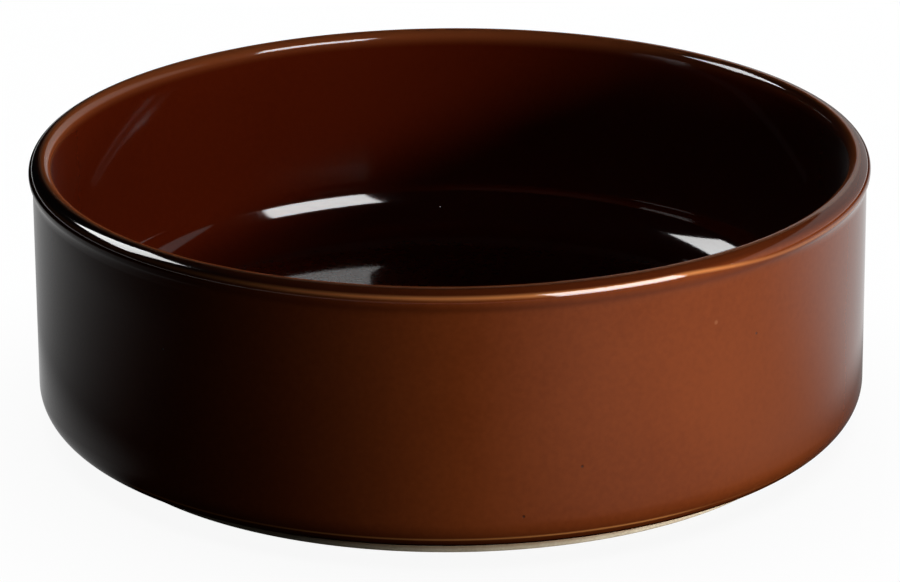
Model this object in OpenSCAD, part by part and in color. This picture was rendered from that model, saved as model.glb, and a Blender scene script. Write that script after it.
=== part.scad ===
// Straight-sided round vegetable bowl of glazed stoneware, all sizes in millimetres.
// The origin is the middle of the ring that the bowl stands on, and +Z points up.

/* [Overall] */
// outside diameter over the widest part of the rim
rim_d = 220; // [190:1:260]
// height from the table to the top of the rim
height = 73.7; // [62:0.1:100]

/* [Rim] */
// radius of the lip's full outer rounding
lip_out_r = 3.5; // [3:0.1:4.2]
// radius of the lip's tighter inner rounding
lip_in_r = 2.4; // [1.6:0.1:3]
// how far the lip stands out past the outside wall
bead_proud = 1; // [0.8:0.1:1.6]
// hollow radius that leads from the bead down into the wall
bead_ease = 6; // [4:0.5:14]

/* [Inside] */
// radius of the cove between the inside wall and the floor
cove_r = 14; // [9:0.5:20]
// thickness of the floor
floor_t = 7; // [5:0.5:9]

/* [Heel and foot] */
// radius of the rounded heel below the outside wall
heel_r = 8.8; // [6.5:0.1:9.2]
// height of the heel's underside above the table
heel_lift = 4; // [3.5:0.1:6]
// how far the foot ring's outside is set in from the wall
foot_inset = 11.4; // [11:0.1:16]
// width of the foot ring
foot_w = 6; // [5:0.1:9]
// radius between the foot ring and the heel's underside
foot_fillet = 1.6; // [0.8:0.1:1.8]
// rounding of the foot ring's two lower edges
foot_edge = 0.8; // [0.4:0.1:1.2]
// height of the hollow under the floor
recess_h = 9.5; // [8:0.5:12]
// radius at the top corner of the hollow
recess_r = 4; // [2:0.5:6]

/* [Glaze] */
// thickness of the fired glaze
glaze_t = 0.5; // [0.3:0.1:0.8]
// height of the bare clay band at the bottom of the foot ring
glaze_line = 1.6; // [1.3:0.1:2.4]

/* [Hidden] */
$fn = 144;

clay_color = [0.80, 0.74, 0.62];
glaze_color = [0.42, 0.19, 0.09];

// lip: both roundings meet level at the crest, and the two faces of the wall lie below them
crest_r = rim_d / 2 - lip_out_r;
lip_out = [crest_r, height - lip_out_r];
lip_in = [crest_r, height - lip_in_r];
wall_r = rim_d / 2 - bead_proud;
mouth_r = crest_r - lip_in_r;

// bead: the hollow arc touches the wall and runs into the lip, biting into it by a hair
bite = 0.004;
reach = bead_ease + lip_out_r - bite;
ease_r = wall_r + bead_ease;
ease_at = [ease_r, lip_out[1] - sqrt(pow(reach, 2) - pow(ease_r - crest_r, 2))];

// inside, heel and foot
floor_z = recess_h + floor_t;
heel_at = [wall_r - heel_r, heel_lift + heel_r];
foot_r = wall_r - foot_inset;
hollow_r = foot_r - foot_w;

// height and radius at which the two coats are told apart
split_z = recess_h + floor_t / 2;
split_r = foot_r - foot_w / 2;

// how far cutting shapes run past what they cut
over = 5;

// half section of a cup-shaped space: mouth at height 0, floor at -depth, widened all round by grow
module cup_space(mouth, depth, corner, grow) {
    translate([0, corner - depth])
        square([mouth + grow, depth - corner + over]);
    translate([0, -depth - grow])
        square([mouth - corner, corner + grow]);
    translate([mouth - corner, corner - depth])
        circle(corner + grow);
}

// all that lies outside the lip, the bead and the outside wall, its faces moved in by skin
module around_rim(skin) {
    difference() {
        union() {
            translate(lip_out)
                square([rim_d, lip_out_r + over]);
            polygon([lip_out, [rim_d, lip_out[1]], ease_at]);
        }
        translate(lip_out)
            circle(lip_out_r - skin);
    }
    difference() {
        translate([0, lip_in[1]])
            square([crest_r, lip_in_r + over]);
        translate(lip_in)
            circle(lip_in_r - skin);
    }
    translate(ease_at)
        circle(bead_ease + skin);
    translate([wall_r - skin, -over])
        square([rim_d, ease_at[1] + over]);
}

// all that lies outside the rounded heel and the foot ring, the faces moved in by skin
module around_heel(skin) {
    foot = foot_r - skin;
    under = heel_lift + skin;
    hollow = foot_fillet + skin;
    difference() {
        translate([heel_at[0], -over])
            square([rim_d, heel_at[1] + over]);
        translate(heel_at)
            circle(heel_r - skin);
    }
    translate([foot + hollow, -over])
        square([heel_at[0] + heel_r / 2 - foot - hollow, under + over]);
    translate([foot, -over])
        square([hollow + over, under - hollow + over]);
    translate([foot + hollow, under - hollow])
        circle(hollow);
    // rounded outer edge of the foot ring
    difference() {
        translate([foot - foot_edge, -over])
            square([foot_edge + over, foot_edge + over]);
        translate([foot - foot_edge, foot_edge])
            circle(foot_edge);
    }
}

// hollow under the floor, widened by skin, with the foot ring's inner edge rounded off
module recess_section(skin) {
    side = hollow_r + skin;
    mirror([0, 1])
        cup_space(hollow_r, recess_h, recess_r, skin);
    difference() {
        translate([side - over, -over])
            square([over + foot_edge, over + foot_edge]);
        translate([side + foot_edge, foot_edge])
            circle(foot_edge);
    }
}

// half section of the whole bowl, every face but the standing ring moved in by skin
module bowl_section(skin) {
    difference() {
        square([rim_d / 2 + 1, height + 1]);
        around_rim(skin);
        around_heel(skin);
        recess_section(skin);
        translate([0, lip_in[1]])
            cup_space(mouth_r, lip_in[1] - floor_z, cove_r, skin);
    }
}

// thin section between the glazed surface and the clay, above the bare band
module glaze_section() {
    difference() {
        bowl_section(0);
        bowl_section(glaze_t);
        translate([0, glaze_line - over])
            square([rim_d, over]);
    }
}

module stoneware_body() {
    color(clay_color)
        rotate_extrude()
            bowl_section(glaze_t);
}

module glaze_coat() {
    color(glaze_color)
        rotate_extrude()
            difference() {
                glaze_section();
                square([split_r, split_z]);
            }
}

module underside_glaze() {
    color(glaze_color)
        rotate_extrude()
            intersection() {
                glaze_section();
                square([split_r, split_z]);
            }
}

stoneware_body();
glaze_coat();
underside_glaze();
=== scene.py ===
import math

import bmesh
import bpy
import numpy as np
from mathutils import Matrix, Vector


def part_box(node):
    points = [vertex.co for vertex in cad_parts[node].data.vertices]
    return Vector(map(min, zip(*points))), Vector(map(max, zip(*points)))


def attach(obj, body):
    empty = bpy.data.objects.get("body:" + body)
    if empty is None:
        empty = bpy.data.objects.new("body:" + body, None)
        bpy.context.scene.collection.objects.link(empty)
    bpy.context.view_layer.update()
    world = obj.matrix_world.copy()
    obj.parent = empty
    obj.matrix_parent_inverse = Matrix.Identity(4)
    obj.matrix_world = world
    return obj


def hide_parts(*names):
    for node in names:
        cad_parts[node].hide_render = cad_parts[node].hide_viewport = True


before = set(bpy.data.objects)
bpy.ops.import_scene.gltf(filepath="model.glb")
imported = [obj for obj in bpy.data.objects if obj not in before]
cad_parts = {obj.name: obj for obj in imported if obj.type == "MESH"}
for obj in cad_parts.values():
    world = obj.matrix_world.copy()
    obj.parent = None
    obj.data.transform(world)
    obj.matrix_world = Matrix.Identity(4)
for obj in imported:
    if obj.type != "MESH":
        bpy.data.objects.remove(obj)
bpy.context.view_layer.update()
mm = 0.001

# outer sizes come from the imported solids, the rest are the bowl's own radii and steps
glazeLow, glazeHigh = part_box("glaze_coat")
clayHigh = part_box("stoneware_body")[1]
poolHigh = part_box("underside_glaze")[1]
glazeThick = glazeHigh.z - clayHigh.z

bowlForm = {
    "rimRadius": round(glazeHigh.x, 4),
    "height": glazeHigh.z,
    "lipOut": 3.5 * mm,         # the lip's outer and inner rounding
    "lipIn": 2.4 * mm,
    "beadProud": 1 * mm,        # how far the lip stands out past the wall
    "beadEase": 6 * mm,         # hollow radius from the bead into the wall
    "coveRadius": 14 * mm,
    "floorHeight": 16.5 * mm,
    "heelRadius": 8.8 * mm,
    "heelLift": 4 * mm,
    "footInset": 11.4 * mm,     # from the wall to the outside of the foot ring
    "footWidth": 6 * mm,
    "footFillet": 1.6 * mm,
    "footEdge": 0.8 * mm,
    "hollowHeight": poolHigh.z - glazeThick,
    "hollowCorner": 4 * mm,
    "glazeLine": glazeLow.z,    # height at which the glaze stops on the foot ring
    "segments": 288,
    "weldGap": 0.002 * mm,      # outline points closer than this become one
}
crestRadius = bowlForm["rimRadius"] - bowlForm["lipOut"]
lipOutCentre = (crestRadius, bowlForm["height"] - bowlForm["lipOut"])
lipInCentre = (crestRadius, bowlForm["height"] - bowlForm["lipIn"])
wallRadius = bowlForm["rimRadius"] - bowlForm["beadProud"]
mouthRadius = crestRadius - bowlForm["lipIn"]
footRadius = wallRadius - bowlForm["footInset"]
hollowRadius = footRadius - bowlForm["footWidth"]

# steps along each stretch of the section; the sides of the glaze have them for face and back
outlineSteps = {
    "floor": 14, "cove": 24, "insideWall": 10,
    "lipIn": 14, "lipOut": 24, "ease": 12, "wall": 14,
    "heel": 22, "heelUnder": 2, "fillet": 10,
    "footSide": 8, "footEdge": 6, "footFace": 4,
    "hollowCorner": 10, "hollowTop": 14,
    "glazeEdge": 6, "coatSide": (4, 5), "poolSide": (6, 7),
}


def arcPoints(centre, radius, startDeg, endDeg, steps):
    turn = np.radians(np.linspace(startDeg, endDeg, steps + 1))
    return [(centre[0] + radius * math.cos(t), centre[1] + radius * math.sin(t)) for t in turn]


def linePoints(start, end, steps):
    share = np.linspace(0, 1, steps + 1)
    return [(start[0] + (end[0] - start[0]) * s, start[1] + (end[1] - start[1]) * s) for s in share]


def joinOutline(*stretches):
    outline = []
    for stretch in stretches:
        for point in stretch:
            if not outline or math.dist(point, outline[-1]) > bowlForm["weldGap"]:
                outline.append(point)
    return outline


def insideOutline(skin):
    # from the middle of the floor, up the cove and the wall, to the start of the lip
    form, steps = bowlForm, outlineSteps
    cove = (mouthRadius - form["coveRadius"], form["floorHeight"] + form["coveRadius"])
    floorTop = form["floorHeight"] - skin
    wall = mouthRadius + skin
    return joinOutline(
        linePoints((0, floorTop), (cove[0], floorTop), steps["floor"]),
        arcPoints(cove, form["coveRadius"] + skin, -90, 0, steps["cove"]),
        linePoints((wall, cove[1]), (wall, lipInCentre[1]), steps["insideWall"]))


def outsideOutline(skin):
    # over the lip, down the bead, wall and heel, to the top of the foot ring's side
    form, steps = bowlForm, outlineSteps
    easeRadius = wallRadius + form["beadEase"]
    reach = form["beadEase"] + form["lipOut"]
    easeDrop = math.sqrt(reach ** 2 - (easeRadius - crestRadius) ** 2)
    ease = (easeRadius, lipOutCentre[1] - easeDrop)
    turnDeg = math.degrees(math.atan2(-easeDrop, easeRadius - crestRadius))
    heel = (wallRadius - form["heelRadius"], form["heelLift"] + form["heelRadius"])
    wall = wallRadius - skin
    side = footRadius - skin
    fillet = form["footFillet"] + skin
    under = form["heelLift"] + skin
    return joinOutline(
        arcPoints(lipInCentre, form["lipIn"] - skin, 180, 90, steps["lipIn"]),
        arcPoints(lipOutCentre, form["lipOut"] - skin, 90, turnDeg, steps["lipOut"]),
        arcPoints(ease, form["beadEase"] + skin, 180 + turnDeg, 180, steps["ease"]),
        linePoints((wall, ease[1]), (wall, heel[1]), steps["wall"]),
        arcPoints(heel, form["heelRadius"] - skin, 0, -90, steps["heel"]),
        linePoints((heel[0], under), (side + fillet, under), steps["heelUnder"]),
        arcPoints((side + fillet, under - fillet), fillet, 90, 180, steps["fillet"]))


def hollowOutline(skin):
    # the hollow under the floor, from the foot ring's side to the middle
    form, steps = bowlForm, outlineSteps
    corner = form["hollowCorner"]
    centre = (hollowRadius - corner, form["hollowHeight"] - corner)
    top = form["hollowHeight"] + skin
    return joinOutline(
        arcPoints(centre, corner + skin, 0, 90, steps["hollowCorner"]),
        linePoints((centre[0], top), (0, top), steps["hollowTop"]))


def glazeEdge(side, bodySide):
    # drawn-down edge of the glaze: a quarter round from the glazed face to the clay
    line = bowlForm["glazeLine"]
    turn = np.radians(np.linspace(0, 90, outlineSteps["glazeEdge"] + 1))
    width = side - bodySide
    return [(bodySide + width * math.cos(t), line + abs(width) * (1 - math.sin(t))) for t in turn]


# the slight unevenness of a pot that was thrown, fired and dipped by hand
handMade = {
    "seed": 41,
    "warp": 0.10 * mm,                  # how far the kiln pulled the rim in, out of round
    "warpWaves": ((2, 0.3), (3, 0.2)),  # lobes round the rim and their shares
    "warpInset": 0.8,                   # keeps all of it inside the round form
    "lineWander": 0.15 * mm,            # how far the glaze line strays up and down
    "lineWaves": (3, 7, 13, 22, 37),
    "lineTilt": 1.0 * mm,               # and how far it climbs on the right
    "lineTiltTurn": 25,
    "lineReach": 2.8 * mm,              # height over which that straying fades out
}


def unevenRing(angle):
    # at each angle, how much the pot is out of round and how far its glaze line is off
    hand = handMade
    warps = len(hand["warpWaves"])
    rng = np.random.default_rng(hand["seed"])
    phases = rng.uniform(0, 2 * math.pi, warps + len(hand["lineWaves"]))
    outOfRound = sum(share * np.cos(lobes * angle + phases[i])
                     for i, (lobes, share) in enumerate(hand["warpWaves"])) - hand["warpInset"]
    stray = sum(np.cos(lobes * angle + phases[warps + i]) / (1 + i)
                for i, lobes in enumerate(hand["lineWaves"]))
    stray *= hand["lineWander"] / np.abs(stray).max()
    climb = 0.5 + 0.5 * np.cos(angle + math.radians(hand["lineTiltTurn"]))
    return outOfRound, stray + hand["lineTilt"] * climb ** 2


def spinOutline(name, outline):
    # lathe from axis to axis: a closed mesh with a pole at each end
    form, hand = bowlForm, handMade
    count = form["segments"]
    angle = np.arange(count) * 2 * math.pi / count
    outOfRound, stray = unevenRing(angle)
    points = [(0, 0, outline[0][1])]
    for radius, height in outline[1:-1]:
        nearLine = max(0, 1 - abs(height - form["glazeLine"]) / hand["lineReach"])
        swell = radius + hand["warp"] * outOfRound * (height / form["height"]) ** 2
        lift = height + stray * nearLine * (height > form["footEdge"])
        points += list(zip(swell * np.cos(angle), swell * np.sin(angle), lift))
    points.append((0, 0, outline[-1][1]))
    rings = len(outline) - 2
    faces = []
    for i in range(count):
        j = (i + 1) % count
        faces.append((0, 1 + i, 1 + j))
        for k in range(rings - 1):
            low = 1 + k * count
            faces.append((low + i, low + count + i, low + count + j, low + j))
        last = 1 + (rings - 1) * count
        faces.append((last + i, len(points) - 1, last + j))
    mesh = bpy.data.meshes.new(name)
    mesh.from_pydata(points, [], faces)
    shape = bmesh.new()
    shape.from_mesh(mesh)
    bmesh.ops.recalc_face_normals(shape, faces=shape.faces)
    shape.to_mesh(mesh)
    shape.free()
    mesh.shade_smooth()
    piece = bpy.data.objects.new(name, mesh)
    bpy.context.scene.collection.objects.link(piece)
    print("spun", name, "faces", len(mesh.polygons))
    return piece


# helpers for the shader trees: a value is a number, a colour or another node's output

def feed(tree, socket, value):
    if isinstance(value, bpy.types.NodeSocket):
        tree.links.new(value, socket)
    else:
        socket.default_value = value


def addNode(tree, kind, **settings):
    node = tree.nodes.new(kind)
    for key, value in settings.items():
        if key in node.inputs:
            feed(tree, node.inputs[key], value)
        else:
            setattr(node, key, value)
    return node


def mathNode(tree, operation, first, second):
    node = addNode(tree, "ShaderNodeMath", operation=operation)
    for socket, value in zip(node.inputs, (first, second)):
        feed(tree, socket, value)
    return node.outputs[0]


def times(tree, first, second):
    return mathNode(tree, "MULTIPLY", first, second)


def larger(tree, first, second):
    return mathNode(tree, "MAXIMUM", first, second)


def vectorNode(tree, operation, first, second=None):
    node = addNode(tree, "ShaderNodeVectorMath", operation=operation)
    feed(tree, node.inputs[0], first)
    if second is not None:
        feed(tree, node.inputs[1], second)
    return node


def splitAxes(tree, vector):
    return addNode(tree, "ShaderNodeSeparateXYZ", Vector=vector).outputs


def rampBetween(tree, value, low, high, toLow=0.0, toHigh=1.0):
    node = addNode(tree, "ShaderNodeMapRange", interpolation_type="SMOOTHSTEP")
    ends = {"From Min": low, "From Max": high, "To Min": toLow, "To Max": toHigh}
    for label, number in {"Value": value, **ends}.items():
        feed(tree, node.inputs[label], number)
    return node.outputs["Result"]


def ringMask(tree, value, centre, half, most=1.0):
    # most at the centre, fading to nothing half a width away
    away = mathNode(tree, "ABSOLUTE", mathNode(tree, "SUBTRACT", value, centre), 0)
    return rampBetween(tree, away, 0, half, most, 0)


def mixColour(tree, factor, first, second):
    node = addNode(tree, "ShaderNodeMix", data_type="RGBA")
    for label, value in (("Factor_Float", factor), ("A_Color", first), ("B_Color", second)):
        socket = next(s for s in node.inputs if s.identifier == label)
        feed(tree, socket, (*value, 1) if isinstance(value, tuple) else value)
    return next(s for s in node.outputs if s.identifier == "Result_Color")


def mixShaders(tree, factor, first, second):
    mixed = tree.nodes.new("ShaderNodeMixShader")
    tree.links.new(factor, mixed.inputs[0])
    tree.links.new(first.outputs[0], mixed.inputs[1])
    tree.links.new(second.outputs[0], mixed.inputs[2])
    tree.links.new(mixed.outputs[0], tree.nodes["Material Output"].inputs["Surface"])


def addBump(tree, shader, height, strength, distance):
    bump = addNode(tree, "ShaderNodeBump", Height=height, Strength=strength, Distance=distance)
    tree.links.new(bump.outputs["Normal"], shader.inputs["Normal"])


def startGroup(name, inputs, outputs):
    group = bpy.data.node_groups.new(name, "ShaderNodeTree")
    for label, value in inputs.items():
        kind = "NodeSocketVector" if value is None else "NodeSocketFloat"
        socket = group.interface.new_socket(label, in_out="INPUT", socket_type=kind)
        if value is not None:
            socket.default_value = value
    for label in outputs:
        group.interface.new_socket(label, in_out="OUTPUT", socket_type="NodeSocketFloat")
    return group, group.nodes.new("NodeGroupInput"), group.nodes.new("NodeGroupOutput")


def placeGroup(tree, group, vector, values):
    node = tree.nodes.new("ShaderNodeGroup")
    node.node_tree = group
    tree.links.new(vector, node.inputs["Vector"])
    for key, value in values.items():
        node.inputs[key].default_value = value
    return node


speckForm = {
    "inputs": {"Vector": None, "Scale": 60, "Size": 0.05, "Share": 0.3},
    "core": 0.5,            # share of each spot's size that is fully dark
}


def makeSpeckGroup():
    # scattered round specks: a share of the cells of a cell pattern holds one
    group, start, end = startGroup("kilnSpecks", speckForm["inputs"], ["Mask"])
    given = start.outputs
    cells = addNode(group, "ShaderNodeTexVoronoi", Vector=given["Vector"], Scale=given["Scale"])
    chosen = mathNode(group, "LESS_THAN", cells.outputs["Color"], given["Share"])
    inner = times(group, given["Size"], speckForm["core"])
    spot = rampBetween(group, cells.outputs["Distance"], inner, given["Size"], 1.0, 0.0)
    group.links.new(times(group, chosen, spot), end.inputs["Mask"])
    return group


mottleForm = {
    "inputs": {"Vector": None, "Scale": 20, "Fine": 8},
    "detail": 3,
    "slowShare": 0.65,
    "fineShare": 0.35,
    "spread": (0.3, 0.7),   # part of the sum that is stretched from 0 to 1
}


def makeMottleGroup():
    # cloudy change of tone from 0 to 1, a slow one with a finer one on it
    form = mottleForm
    group, start, end = startGroup("mottle", form["inputs"], ["Tone"])
    given = start.outputs
    scales = (given["Scale"], times(group, given["Scale"], given["Fine"]))
    slow, fine = (addNode(group, "ShaderNodeTexNoise", Vector=given["Vector"], Scale=scale,
                          Detail=form["detail"]).outputs["Fac"] for scale in scales)
    total = mathNode(group, "ADD", times(group, slow, form["slowShare"]),
                     times(group, fine, form["fineShare"]))
    group.links.new(rampBetween(group, total, *form["spread"]), end.inputs["Tone"])
    return group


speckGroup = makeSpeckGroup()
mottleGroup = makeMottleGroup()


def startMaterial(name):
    material = bpy.data.materials.new(name)
    material.use_nodes = True
    tree = material.node_tree
    shader = tree.nodes["Principled BSDF"]
    place = tree.nodes.new("ShaderNodeTexCoord").outputs["Object"]
    return material, tree, shader, place


# rings are middle, half width and share; those on the lip are measured down from its top
glazeLook = {
    "brown": (0.262, 0.056, 0.0130),
    "deepBrown": (0.208, 0.041, 0.0090),
    "insideBrown": (0.200, 0.0205, 0.0030),     # thicker and redder inside
    "insideDeep": (0.166, 0.0158, 0.0022),
    "mottle": {"Scale": 16, "Fine": 40},
    "outsideFrom": 0.8 * mm,                    # the outside begins this far past the top of the lip
    "insideFade": (0.2 * mm, 0.3 * mm),         # off the inside wall and off the top of the lip
    "shade": (0.110, 0.020, 0.0050),            # painted shade on the lip, in the hollow under the bead and under the heel
    "lipShade": (1.0 * mm, 1.5 * mm, 0.85),
    "hollowShade": (4.5 * mm, 1.9 * mm, 0.5),
    "heelShade": (6.4 * mm, 7.6 * mm, 0.3, 0),
    "shoulderBreakAndHighlight": (0.780, 0.270, 0.080),          # painted highlight on the bead, partly the glaze breaking thin over it
    "shoulderRing": (1.85 * mm, 0.75 * mm),
    # painted reflection of the lit floor along the heel, partly the glaze breaking thin there
    "heel": (0.860, 0.320, 0.090),
    "heelRing": (8.0 * mm, 0.55 * mm),
    # painted highlight on the inner side of the lip, partly the glaze breaking thin there
    "innerLipBreakAndHighlight": (0.760, 0.200, 0.060),
    "innerLipRise": (4.5 * mm, 0.8 * mm, 0.6),
    "innerLipEnd": 0.3 * mm,
    # painted highlight along the top of the lip, partly the glaze breaking thin there
    "crest": (0.600, 0.320, 0.190),
    "crestRing": (0.4 * mm, 0.55 * mm, 0.45),
    "crestRise": (1.2 * mm, 0.5 * mm),
    "lineDrop": 2.1 * mm,                       # the painted highlight on the bead runs lower on the right, where the side light falls
    "lineTurn": (0.50, 0.80),                   # turns are shares of the rim's radius
    "shoulderTurn": (0.54, 0.74),
    "shoulderLeft": 0.4,                        # share that is left past the turn
    "heelTurn": (0.46, 0.60),
    "heelLeft": 0.15,
    # dark brown of the specks, also painted onto bounced light as shade inside the bowl
    "speckAndHeldShade": (0.030, 0.008, 0.004),
    "specks": {"Scale": 70, "Size": 0.026, "Share": 0.35},
    "speckTone": 0.85,
    "speckRough": 0.3,
    "paleSpeck": (0.340, 0.110, 0.045),
    # azimuth, height and width in mm of the dark pinholes, then of the pale one
    "pinholes": [(11.2, 70.8, 0.50), (17.1, 25.9, 0.42), (9.3, 14.1, 0.42), (44.2, 50.7, 0.40)],
    "palePinhole": (36.9, 57.0, 0.65),
    "pinholeFade": (0.4, 1.2),                  # shares of the width over which one fades out
    "heldBack": 0.97,                           # share of the light kept from passing on
    "farFrom": 90 * mm,                         # mirrored from at least this far away
    "farBand": (21.9 * mm, 2.1 * mm),
    "roughness": (0.048, 0.078),
    "ior": 1.50,
    "peelScale": 260.0,
    "peelDetail": 2.0,
    "peelHeight": 0.012,
    "pitDepth": 0.25,
    "bumpStrength": 0.35,
    "bumpDistance": 1.0 * mm,
}


def spotMask(tree, place, azimuth, height, width):
    turn = math.radians(azimuth)
    spot = (wallRadius * math.sin(turn), -wallRadius * math.cos(turn), height * mm)
    away = vectorNode(tree, "DISTANCE", place, spot).outputs["Value"]
    core, edge = (width * mm * share for share in glazeLook["pinholeFade"])
    return rampBetween(tree, away, core, edge, 1, 0)


def lipRing(tree, height, down, half, most=1.0):
    return ringMask(tree, height, bowlForm["height"] - down, half, most)


def rightRamp(tree, across, turn, atLeft, atRight):
    rim = bowlForm["rimRadius"]
    return rampBetween(tree, across, rim * turn[0], rim * turn[1], atLeft, atRight)


def makeGlaze():
    look = glazeLook
    top = bowlForm["height"]
    material, tree, shader, place = startMaterial("brownGlaze")
    axes = splitAxes(tree, place)
    across, rise = axes["X"], axes["Z"]
    flat = vectorNode(tree, "MULTIPLY", place, (1, 1, 0)).outputs["Vector"]
    radius = vectorNode(tree, "LENGTH", flat).outputs["Value"]
    outside = mathNode(tree, "GREATER_THAN", radius, crestRadius + look["outsideFrom"])

    # plain field: brown outside, redder inside, clouded by the mottle
    mottle = placeGroup(tree, mottleGroup, place, look["mottle"]).outputs["Tone"]
    field = mixColour(tree, mottle, look["deepBrown"], look["brown"])
    insideField = mixColour(tree, mottle, look["insideDeep"], look["insideBrown"])
    offWall, offCrest = look["insideFade"]
    inside = rampBetween(tree, radius, mouthRadius + offWall, crestRadius - offCrest, 1, 0)
    colour = mixColour(tree, inside, field, insideField)

    # painted shade darkens the lip, the hollow under the bead and the heel's underside, and lighter
    # lines along the bead, heel, inner lip and top of the lip are painted highlights, partly the
    # glaze breaking thin over the edges; on the right, where the side light falls, the bead's line
    # runs lower and the heel's line fades out
    heelFade = rightRamp(tree, across, look["heelTurn"], 1, look["heelLeft"])
    heelShade = times(tree, rampBetween(tree, rise, *look["heelShade"]), heelFade)
    shade = larger(tree, lipRing(tree, rise, *look["lipShade"]),
                   lipRing(tree, rise, *look["hollowShade"]))
    shade = larger(tree, shade, heelShade)
    colour = mixColour(tree, times(tree, shade, outside), colour, look["shade"])
    drop = rightRamp(tree, across, look["lineTurn"], 0, look["lineDrop"])
    shoulderBreakAndHighlight = times(tree, lipRing(tree, mathNode(tree, "ADD", rise, drop), *look["shoulderRing"]),
                     rightRamp(tree, across, look["shoulderTurn"], 1, look["shoulderLeft"]))
    colour = mixColour(tree, times(tree, shoulderBreakAndHighlight, outside), colour, look["shoulderBreakAndHighlight"])
    heel = times(tree, ringMask(tree, rise, *look["heelRing"]), heelFade)
    colour = mixColour(tree, times(tree, heel, outside), colour, look["heel"])
    low, high, most = look["innerLipRise"]
    innerLipBreakAndHighlight = times(tree, rampBetween(tree, rise, top - low, top - high, 0, most),
                     mathNode(tree, "LESS_THAN", radius, crestRadius + look["innerLipEnd"]))
    colour = mixColour(tree, innerLipBreakAndHighlight, colour, look["innerLipBreakAndHighlight"])
    past, half, most = look["crestRing"]
    low, high = look["crestRise"]
    crest = times(tree, ringMask(tree, radius, crestRadius + past, half, most),
                  rampBetween(tree, rise, top - low, top - high))
    colour = mixColour(tree, crest, colour, look["crest"])

    specks = placeGroup(tree, speckGroup, place, look["specks"]).outputs["Mask"]
    for pinhole in look["pinholes"]:
        specks = larger(tree, specks, spotMask(tree, place, *pinhole))
    colour = mixColour(tree, times(tree, specks, look["speckTone"]), colour, look["speckAndHeldShade"])
    pale = spotMask(tree, place, *look["palePinhole"])
    colour = mixColour(tree, pale, colour, look["paleSpeck"])

    # mirror images inside the bowl stop at the second one and little light is passed on from
    # wall to wall, as in the photograph with its deep shadows
    rays = tree.nodes.new("ShaderNodeLightPath").outputs
    bounced = rays["Is Diffuse Ray"]
    later = mathNode(tree, "GREATER_THAN", rays["Glossy Depth"], 1.5)       # depth 2 or more
    held = larger(tree, later, times(tree, bounced, look["heldBack"]))
    # for bounced rays the glaze is painted this dark brown: painted shade that deepens the shadows
    # inside
    colour = mixColour(tree, held, colour, look["speckAndHeldShade"])
    tree.links.new(colour, shader.inputs["Base Color"])

    gloss = rampBetween(tree, mottle, 0, 1, *look["roughness"])
    gloss = mathNode(tree, "ADD", gloss, times(tree, specks, look["speckRough"]))
    # mirrored from across the bowl, a band of the cove is dull and throws only a thin streak
    mirrored = mathNode(tree, "GREATER_THAN", rays["Glossy Depth"], 0.5)    # depth 1 or more
    fromFar = mathNode(tree, "GREATER_THAN", rays["Ray Length"], look["farFrom"])
    farBand = times(tree, times(tree, mirrored, fromFar), ringMask(tree, rise, *look["farBand"]))
    dull = larger(tree, larger(tree, later, bounced), farBand)
    tree.links.new(larger(tree, gloss, dull), shader.inputs["Roughness"])
    shader.inputs["IOR"].default_value = look["ior"]

    peel = addNode(tree, "ShaderNodeTexNoise", Vector=place, Scale=look["peelScale"],
                   Detail=look["peelDetail"]).outputs["Fac"]
    relief = mathNode(tree, "SUBTRACT", times(tree, peel, look["peelHeight"]),
                      times(tree, specks, look["pitDepth"]))
    addBump(tree, shader, relief, look["bumpStrength"], look["bumpDistance"])
    return material


clayLook = {
    "cream": (0.700, 0.600, 0.440),
    "darkCream": (0.560, 0.450, 0.310),
    "mottle": {"Scale": 120, "Fine": 10},
    "iron": (0.200, 0.110, 0.060),
    "specks": {"Scale": 420, "Size": 0.16, "Share": 0.18},
    "speckTone": 0.7,
    "toasted": (0.360, 0.190, 0.090),     # flashed band under the glaze line
    "toastBelow": 0.7 * mm,
    "toastAbove": 0.1 * mm,
    "toastTone": 0.6,
    "roughness": 0.86,
    "grainScale": 1800.0,
    "grainDetail": 4.0,
    "bumpStrength": 0.5,
    "bumpDistance": 0.25 * mm,
}


def makeClay():
    look = clayLook
    material, tree, shader, place = startMaterial("bareStoneware")
    mottle = placeGroup(tree, mottleGroup, place, look["mottle"]).outputs["Tone"]
    colour = mixColour(tree, mottle, look["darkCream"], look["cream"])
    specks = placeGroup(tree, speckGroup, place, look["specks"]).outputs["Mask"]
    colour = mixColour(tree, times(tree, specks, look["speckTone"]), colour, look["iron"])
    line = bowlForm["glazeLine"]
    band = rampBetween(tree, splitAxes(tree, place)["Z"], line - look["toastBelow"],
                       line + look["toastAbove"], 0, look["toastTone"])
    colour = mixColour(tree, band, colour, look["toasted"])
    tree.links.new(colour, shader.inputs["Base Color"])
    shader.inputs["Roughness"].default_value = look["roughness"]
    grain = addNode(tree, "ShaderNodeTexNoise", Vector=place, Scale=look["grainScale"],
                    Detail=look["grainDetail"]).outputs["Fac"]
    addBump(tree, shader, grain, look["bumpStrength"], look["bumpDistance"])
    return material


glaze = makeGlaze()
clay = makeClay()
print("materials made")


def dressNode(piece, material, node):
    piece.data.materials.append(material)
    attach(piece, "root")
    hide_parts(node)
    return piece


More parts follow.
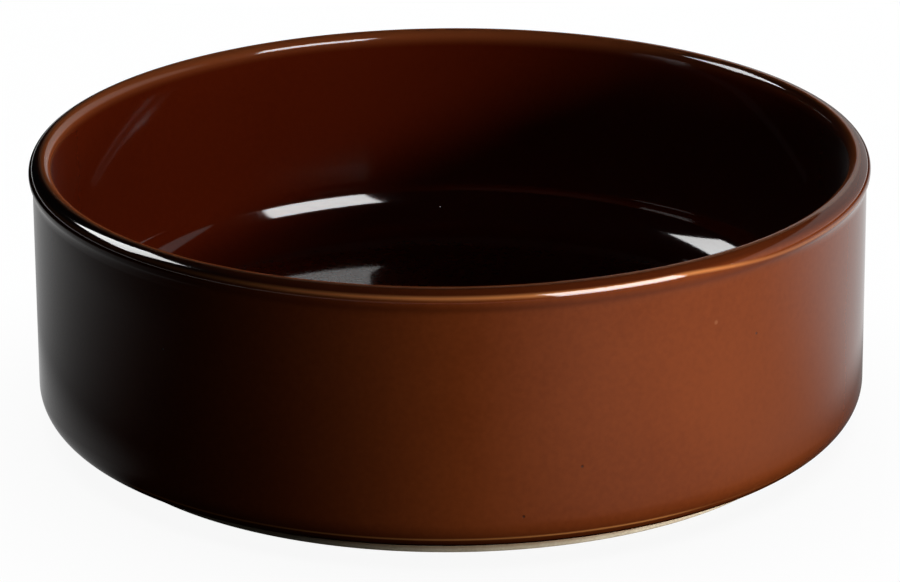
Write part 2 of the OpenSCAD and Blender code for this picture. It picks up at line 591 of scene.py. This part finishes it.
def makeBody():
    form, steps = bowlForm, outlineSteps
    skin = glazeThick
    side = footRadius - skin
    edge = form["footEdge"]
    inner = hollowRadius + skin
    filletFoot = form["heelLift"] - form["footFillet"]
    cornerFoot = form["hollowHeight"] - form["hollowCorner"]
    foot = joinOutline(
        linePoints((side, filletFoot), (side, edge), steps["footSide"]),
        arcPoints((side - edge, edge), edge, 0, -90, steps["footEdge"]),
        linePoints((side - edge, 0), (inner + edge, 0), steps["footFace"]),
        arcPoints((inner + edge, edge), edge, -90, -180, steps["footEdge"]),
        linePoints((inner, edge), (inner, cornerFoot), steps["footSide"]))
    outline = joinOutline(insideOutline(skin), outsideOutline(skin), foot, hollowOutline(skin))
    return dressNode(spinOutline("stonewareBody", outline), clay, "stoneware_body")


def makeGlazeCoat():
    form = bowlForm
    faceSteps, backSteps = outlineSteps["coatSide"]
    side = footRadius
    bodySide = footRadius - glazeThick
    filletFoot = form["heelLift"] - form["footFillet"]
    face = joinOutline(
        insideOutline(0), outsideOutline(0),
        linePoints((side, filletFoot), (side, form["glazeLine"] + glazeThick), faceSteps),
        glazeEdge(side, bodySide))
    back = joinOutline(
        insideOutline(glazeThick), outsideOutline(glazeThick),
        linePoints((bodySide, filletFoot), (bodySide, form["glazeLine"]), backSteps))
    outline = joinOutline(face, back[::-1])
    return dressNode(spinOutline("glazeCoat", outline), glaze, "glaze_coat")


def makeUndersideGlaze():
    form = bowlForm
    faceSteps, backSteps = outlineSteps["poolSide"]
    side = hollowRadius
    bodySide = hollowRadius + glazeThick
    cornerFoot = form["hollowHeight"] - form["hollowCorner"]
    face = joinOutline(
        glazeEdge(side, bodySide)[::-1],
        linePoints((side, form["glazeLine"] + glazeThick), (side, cornerFoot), faceSteps),
        hollowOutline(0))
    back = joinOutline(
        linePoints((bodySide, form["glazeLine"]), (bodySide, cornerFoot), backSteps),
        hollowOutline(glazeThick))
    outline = joinOutline(face[::-1], back)
    return dressNode(spinOutline("undersideGlaze", outline), glaze, "underside_glaze")


bowlPieces = [makeBody(), makeGlazeCoat(), makeUndersideGlaze()]
print("bowl pieces made")

floorLook = {
    "radius": 5.0,
    "colour": (0.86, 0.87, 0.885),
    "dimmer": 0.98,
    "mottle": {"Scale": 6, "Fine": 40},
    "roughness": 0.9,
    "specular": 0.1,
    "white": (1.0, 1.0, 1.0),
    "bleach": 0.93,             # share of plain white that lens and mirror rays see
}


def makeDisc(name, radius, segments=96):
    mesh = bpy.data.meshes.new(name)
    shape = bmesh.new()
    bmesh.ops.create_circle(shape, cap_ends=True, segments=segments, radius=radius)
    shape.to_mesh(mesh)
    shape.free()
    disc = bpy.data.objects.new(name, mesh)
    bpy.context.scene.collection.objects.link(disc)
    return disc


def makeFloor():
    look = floorLook
    floor = makeDisc("paleFloor", look["radius"])
    material, tree, shader, place = startMaterial("palePaper")
    tone = placeGroup(tree, mottleGroup, place, look["mottle"]).outputs["Tone"]
    dimColour = tuple(look["dimmer"] * c for c in look["colour"])
    tree.links.new(mixColour(tree, tone, dimColour, look["colour"]), shader.inputs["Base Color"])
    shader.inputs["Roughness"].default_value = look["roughness"]
    shader.inputs["Specular IOR Level"].default_value = look["specular"]
    rays = tree.nodes.new("ShaderNodeLightPath").outputs
    seen = larger(tree, rays["Is Camera Ray"], rays["Is Glossy Ray"])
    seen = larger(tree, seen, rays["Is Transmission Ray"])
    glow = addNode(tree, "ShaderNodeEmission", Color=(*look["white"], 1), Strength=1.0)
    mixShaders(tree, times(tree, seen, look["bleach"]), shader, glow)
    floor.data.materials.append(material)
    floor.visible_diffuse = False     # no light comes back up from the paper, as in the dark studio
    return floor


# dark card on the floor that only mirror rays meet: it keeps the front of the glaze deep,
# and lets more of the white floor through towards the back and a little on the right
cardLook = {
    "radius": 1.5,
    "lift": 0.2 * mm,
    "black": (0.002, 0.002, 0.002),
    "leftShare": 0.42,          # shares of the floor that stay mirrored at the back on either side
    "rightShare": 0.48,
    "rightLeast": 0.22,         # share that stays mirrored along the right
    "nearShare": 0.25,          # and close by the heel on the left
    # the shares set in between these headings, 1 is straight back or straight to the right
    "leftBack": (-0.6, 0.9),
    "rightBack": (-0.35, 0.3),
    "rightSide": (0, 0.6),
    "nearSide": (-0.97, -0.78),
    # and begin or end between these distances from the bowl's middle
    "leftEnd": (0.23, 0.30),
    "nearEnd": (0.115, 0.150),
    "rightStart": (0.112, 0.145),
    "rightEnd": (0.24, 0.48),
}


def makeCard():
    look = cardLook
    card = makeDisc("glossCard", look["radius"])
    card.location.z = look["lift"]
    for ray in ("camera", "diffuse", "transmission", "volume_scatter", "shadow"):
        setattr(card, "visible_" + ray, False)
    material, tree, shader, place = startMaterial("blackCard")
    shader.inputs["Base Color"].default_value = (*look["black"], 1)
    shader.inputs["Specular IOR Level"].default_value = 0
    heading = splitAxes(tree, vectorNode(tree, "NORMALIZE", place).outputs["Vector"])
    across, back = heading["X"], heading["Y"]
    distance = vectorNode(tree, "LENGTH", place).outputs["Value"]

    leftPart = times(tree, rampBetween(tree, back, *look["leftBack"], 0, look["leftShare"]),
                     rampBetween(tree, distance, *look["leftEnd"], 1, 0))
    nearPart = times(tree, rampBetween(tree, distance, *look["nearEnd"], look["nearShare"], 0),
                     rampBetween(tree, across, *look["nearSide"], 1, 0))
    leftPart = mathNode(tree, "ADD", leftPart, nearPart)
    rightPart = rampBetween(tree, back, *look["rightBack"], 0, look["rightShare"])
    rightPart = mathNode(tree, "ADD", rightPart, look["rightLeast"])
    rightPart = times(tree, rightPart, rampBetween(tree, across, *look["rightSide"]))
    rightPart = times(tree, rightPart, rampBetween(tree, distance, *look["rightStart"]))
    rightPart = times(tree, rightPart, rampBetween(tree, distance, *look["rightEnd"], 1, 0))
    clear = larger(tree, leftPart, rightPart)
    mixShaders(tree, clear, shader, tree.nodes.new("ShaderNodeBsdfTransparent"))
    card.data.materials.append(material)


floor = makeFloor()
makeCard()
print("floor and card laid")

# studio lamps: azimuth runs from the viewer's side, plus is to the right, and each faces the bowl
lampSet = {
    "sideKey": {"azimuth": 67, "elevation": 16.7, "distance": 0.9, "size": (0.36, 0.07),
                "brightness": 30.0, "lights": "bowl", "hidden": ("glossy",)},
    "frontStrip": {"azimuth": 28, "elevation": 6, "distance": 0.22, "size": (0.09, 0.06),
                   "brightness": 4.0, "lights": "bowl", "hidden": ("glossy",)},
    "rightStrip": {"azimuth": 52, "elevation": 6, "distance": 0.22, "size": (0.09, 0.06),
                   "brightness": 2.7, "lights": "bowl", "hidden": ("glossy",)},
    "backLight": {"azimuth": 164, "elevation": 13, "distance": 1.0, "size": (0.60, 0.14),
                  "brightness": 20.0, "lights": "bowl", "hidden": ("glossy",)},
    "footGlow": {"azimuth": 70, "elevation": -0.85, "distance": 1.0, "size": (0.40, 0.04),
                 "brightness": 130.0, "lights": "foot", "hidden": ("glossy",)},
    "leftFill": {"azimuth": -44, "elevation": -5, "distance": 0.20, "size": (0.16, 0.03),
                 "brightness": 0.07, "lights": "bowl", "hidden": ("glossy",)},
    "frontSoftbox": {"azimuth": 44, "elevation": 26, "distance": 0.9, "size": (0.54, 0.40),
                     "brightness": 15.0, "lights": "bowl", "hidden": ("diffuse",)},
    "leftSoftbox": {"azimuth": -112, "elevation": 38, "distance": 1.2, "size": (0.54, 0.46),
                    "brightness": 12.0, "lights": "bowl", "hidden": ("diffuse",)},
    "rearPanel": {"azimuth": 128, "elevation": 17, "distance": 1.2, "size": (2.8, 0.82),
                  "shape": "ELLIPSE",
                  "brightness": 0.38, "lights": "bowl", "hidden": ("diffuse",)},
    "floorSoftbox": {"azimuth": 150, "elevation": 78, "distance": 1.6, "size": (2.2, 2.2),
                     "brightness": 3.1, "lights": "floor", "hidden": ("glossy",)},
}
litGroups = {"bowl": bowlPieces, "foot": bowlPieces[:1], "floor": [floor]}


def compassPoint(azimuth, elevation, distance):
    turn, rise = math.radians(azimuth), math.radians(elevation)
    return Vector((math.sin(turn) * math.cos(rise), -math.cos(turn) * math.cos(rise),
                   math.sin(rise))) * distance


def makeLamp(name, spec):
    data = bpy.data.lights.new(name, "AREA")
    data.shape = spec.get("shape", "RECTANGLE")
    data.size, data.size_y = spec["size"]
    data.energy = spec["brightness"] * math.pi * data.size * data.size_y
    lamp = bpy.data.objects.new(name, data)
    bpy.context.scene.collection.objects.link(lamp)
    away = compassPoint(spec["azimuth"], spec["elevation"], spec["distance"])
    lamp.location = Vector((0, 0, bowlForm["height"] / 2)) + away
    lamp.rotation_euler = away.to_track_quat("Z", "Y").to_euler()
    lamp.visible_camera = False
    for ray in spec["hidden"]:
        setattr(lamp, "visible_" + ray, False)
    lit = bpy.data.collections.new(name + "Lights")
    for item in litGroups[spec["lights"]]:
        lit.objects.link(item)
    lamp.light_linking.receiver_collection = lit


for lampName, lampSpec in lampSet.items():
    makeLamp(lampName, lampSpec)

roomLight = {"colour": (0.9, 0.95, 1.0), "strength": 0.004}
world = bpy.data.worlds.new("dimStudio")
bpy.context.scene.world = world
world.use_nodes = True
background = world.node_tree.nodes["Background"]
background.inputs["Color"].default_value = (*roomLight["colour"], 1)
background.inputs["Strength"].default_value = roomLight["strength"]
print("lamps placed")

cameraView = {
    "focalPixels": 4995,
    "imageWidth": 900,
    "sensorWidth": 36.0,
    "distance": 1.32,
    "pitchDeg": 20.05,
    "rollDeg": -0.38,
    "aimHeight": 33.9 * mm,
    "aimSide": -0.1 * mm,
}


def makeCamera():
    view = cameraView
    data = bpy.data.cameras.new("photoCamera")
    data.sensor_width = view["sensorWidth"]
    data.lens = view["focalPixels"] * view["sensorWidth"] / view["imageWidth"]
    camera = bpy.data.objects.new("photoCamera", data)
    bpy.context.scene.collection.objects.link(camera)
    back = compassPoint(0, view["pitchDeg"], 1.0)
    level = Vector((1, 0, 0))
    rise = back.cross(level)
    roll = math.radians(view["rollDeg"])
    right = level * math.cos(roll) + rise * math.sin(roll)
    turn = Matrix((right, back.cross(right), back)).transposed()
    place = Vector((view["aimSide"], 0, view["aimHeight"])) + back * view["distance"]
    camera.matrix_world = Matrix.LocRotScale(place, turn.to_quaternion(), None)
    bpy.context.scene.camera = camera


makeCamera()
bpy.context.scene.view_settings.view_transform = "Standard"
print("camera set")

bpy.context.view_layer.update()
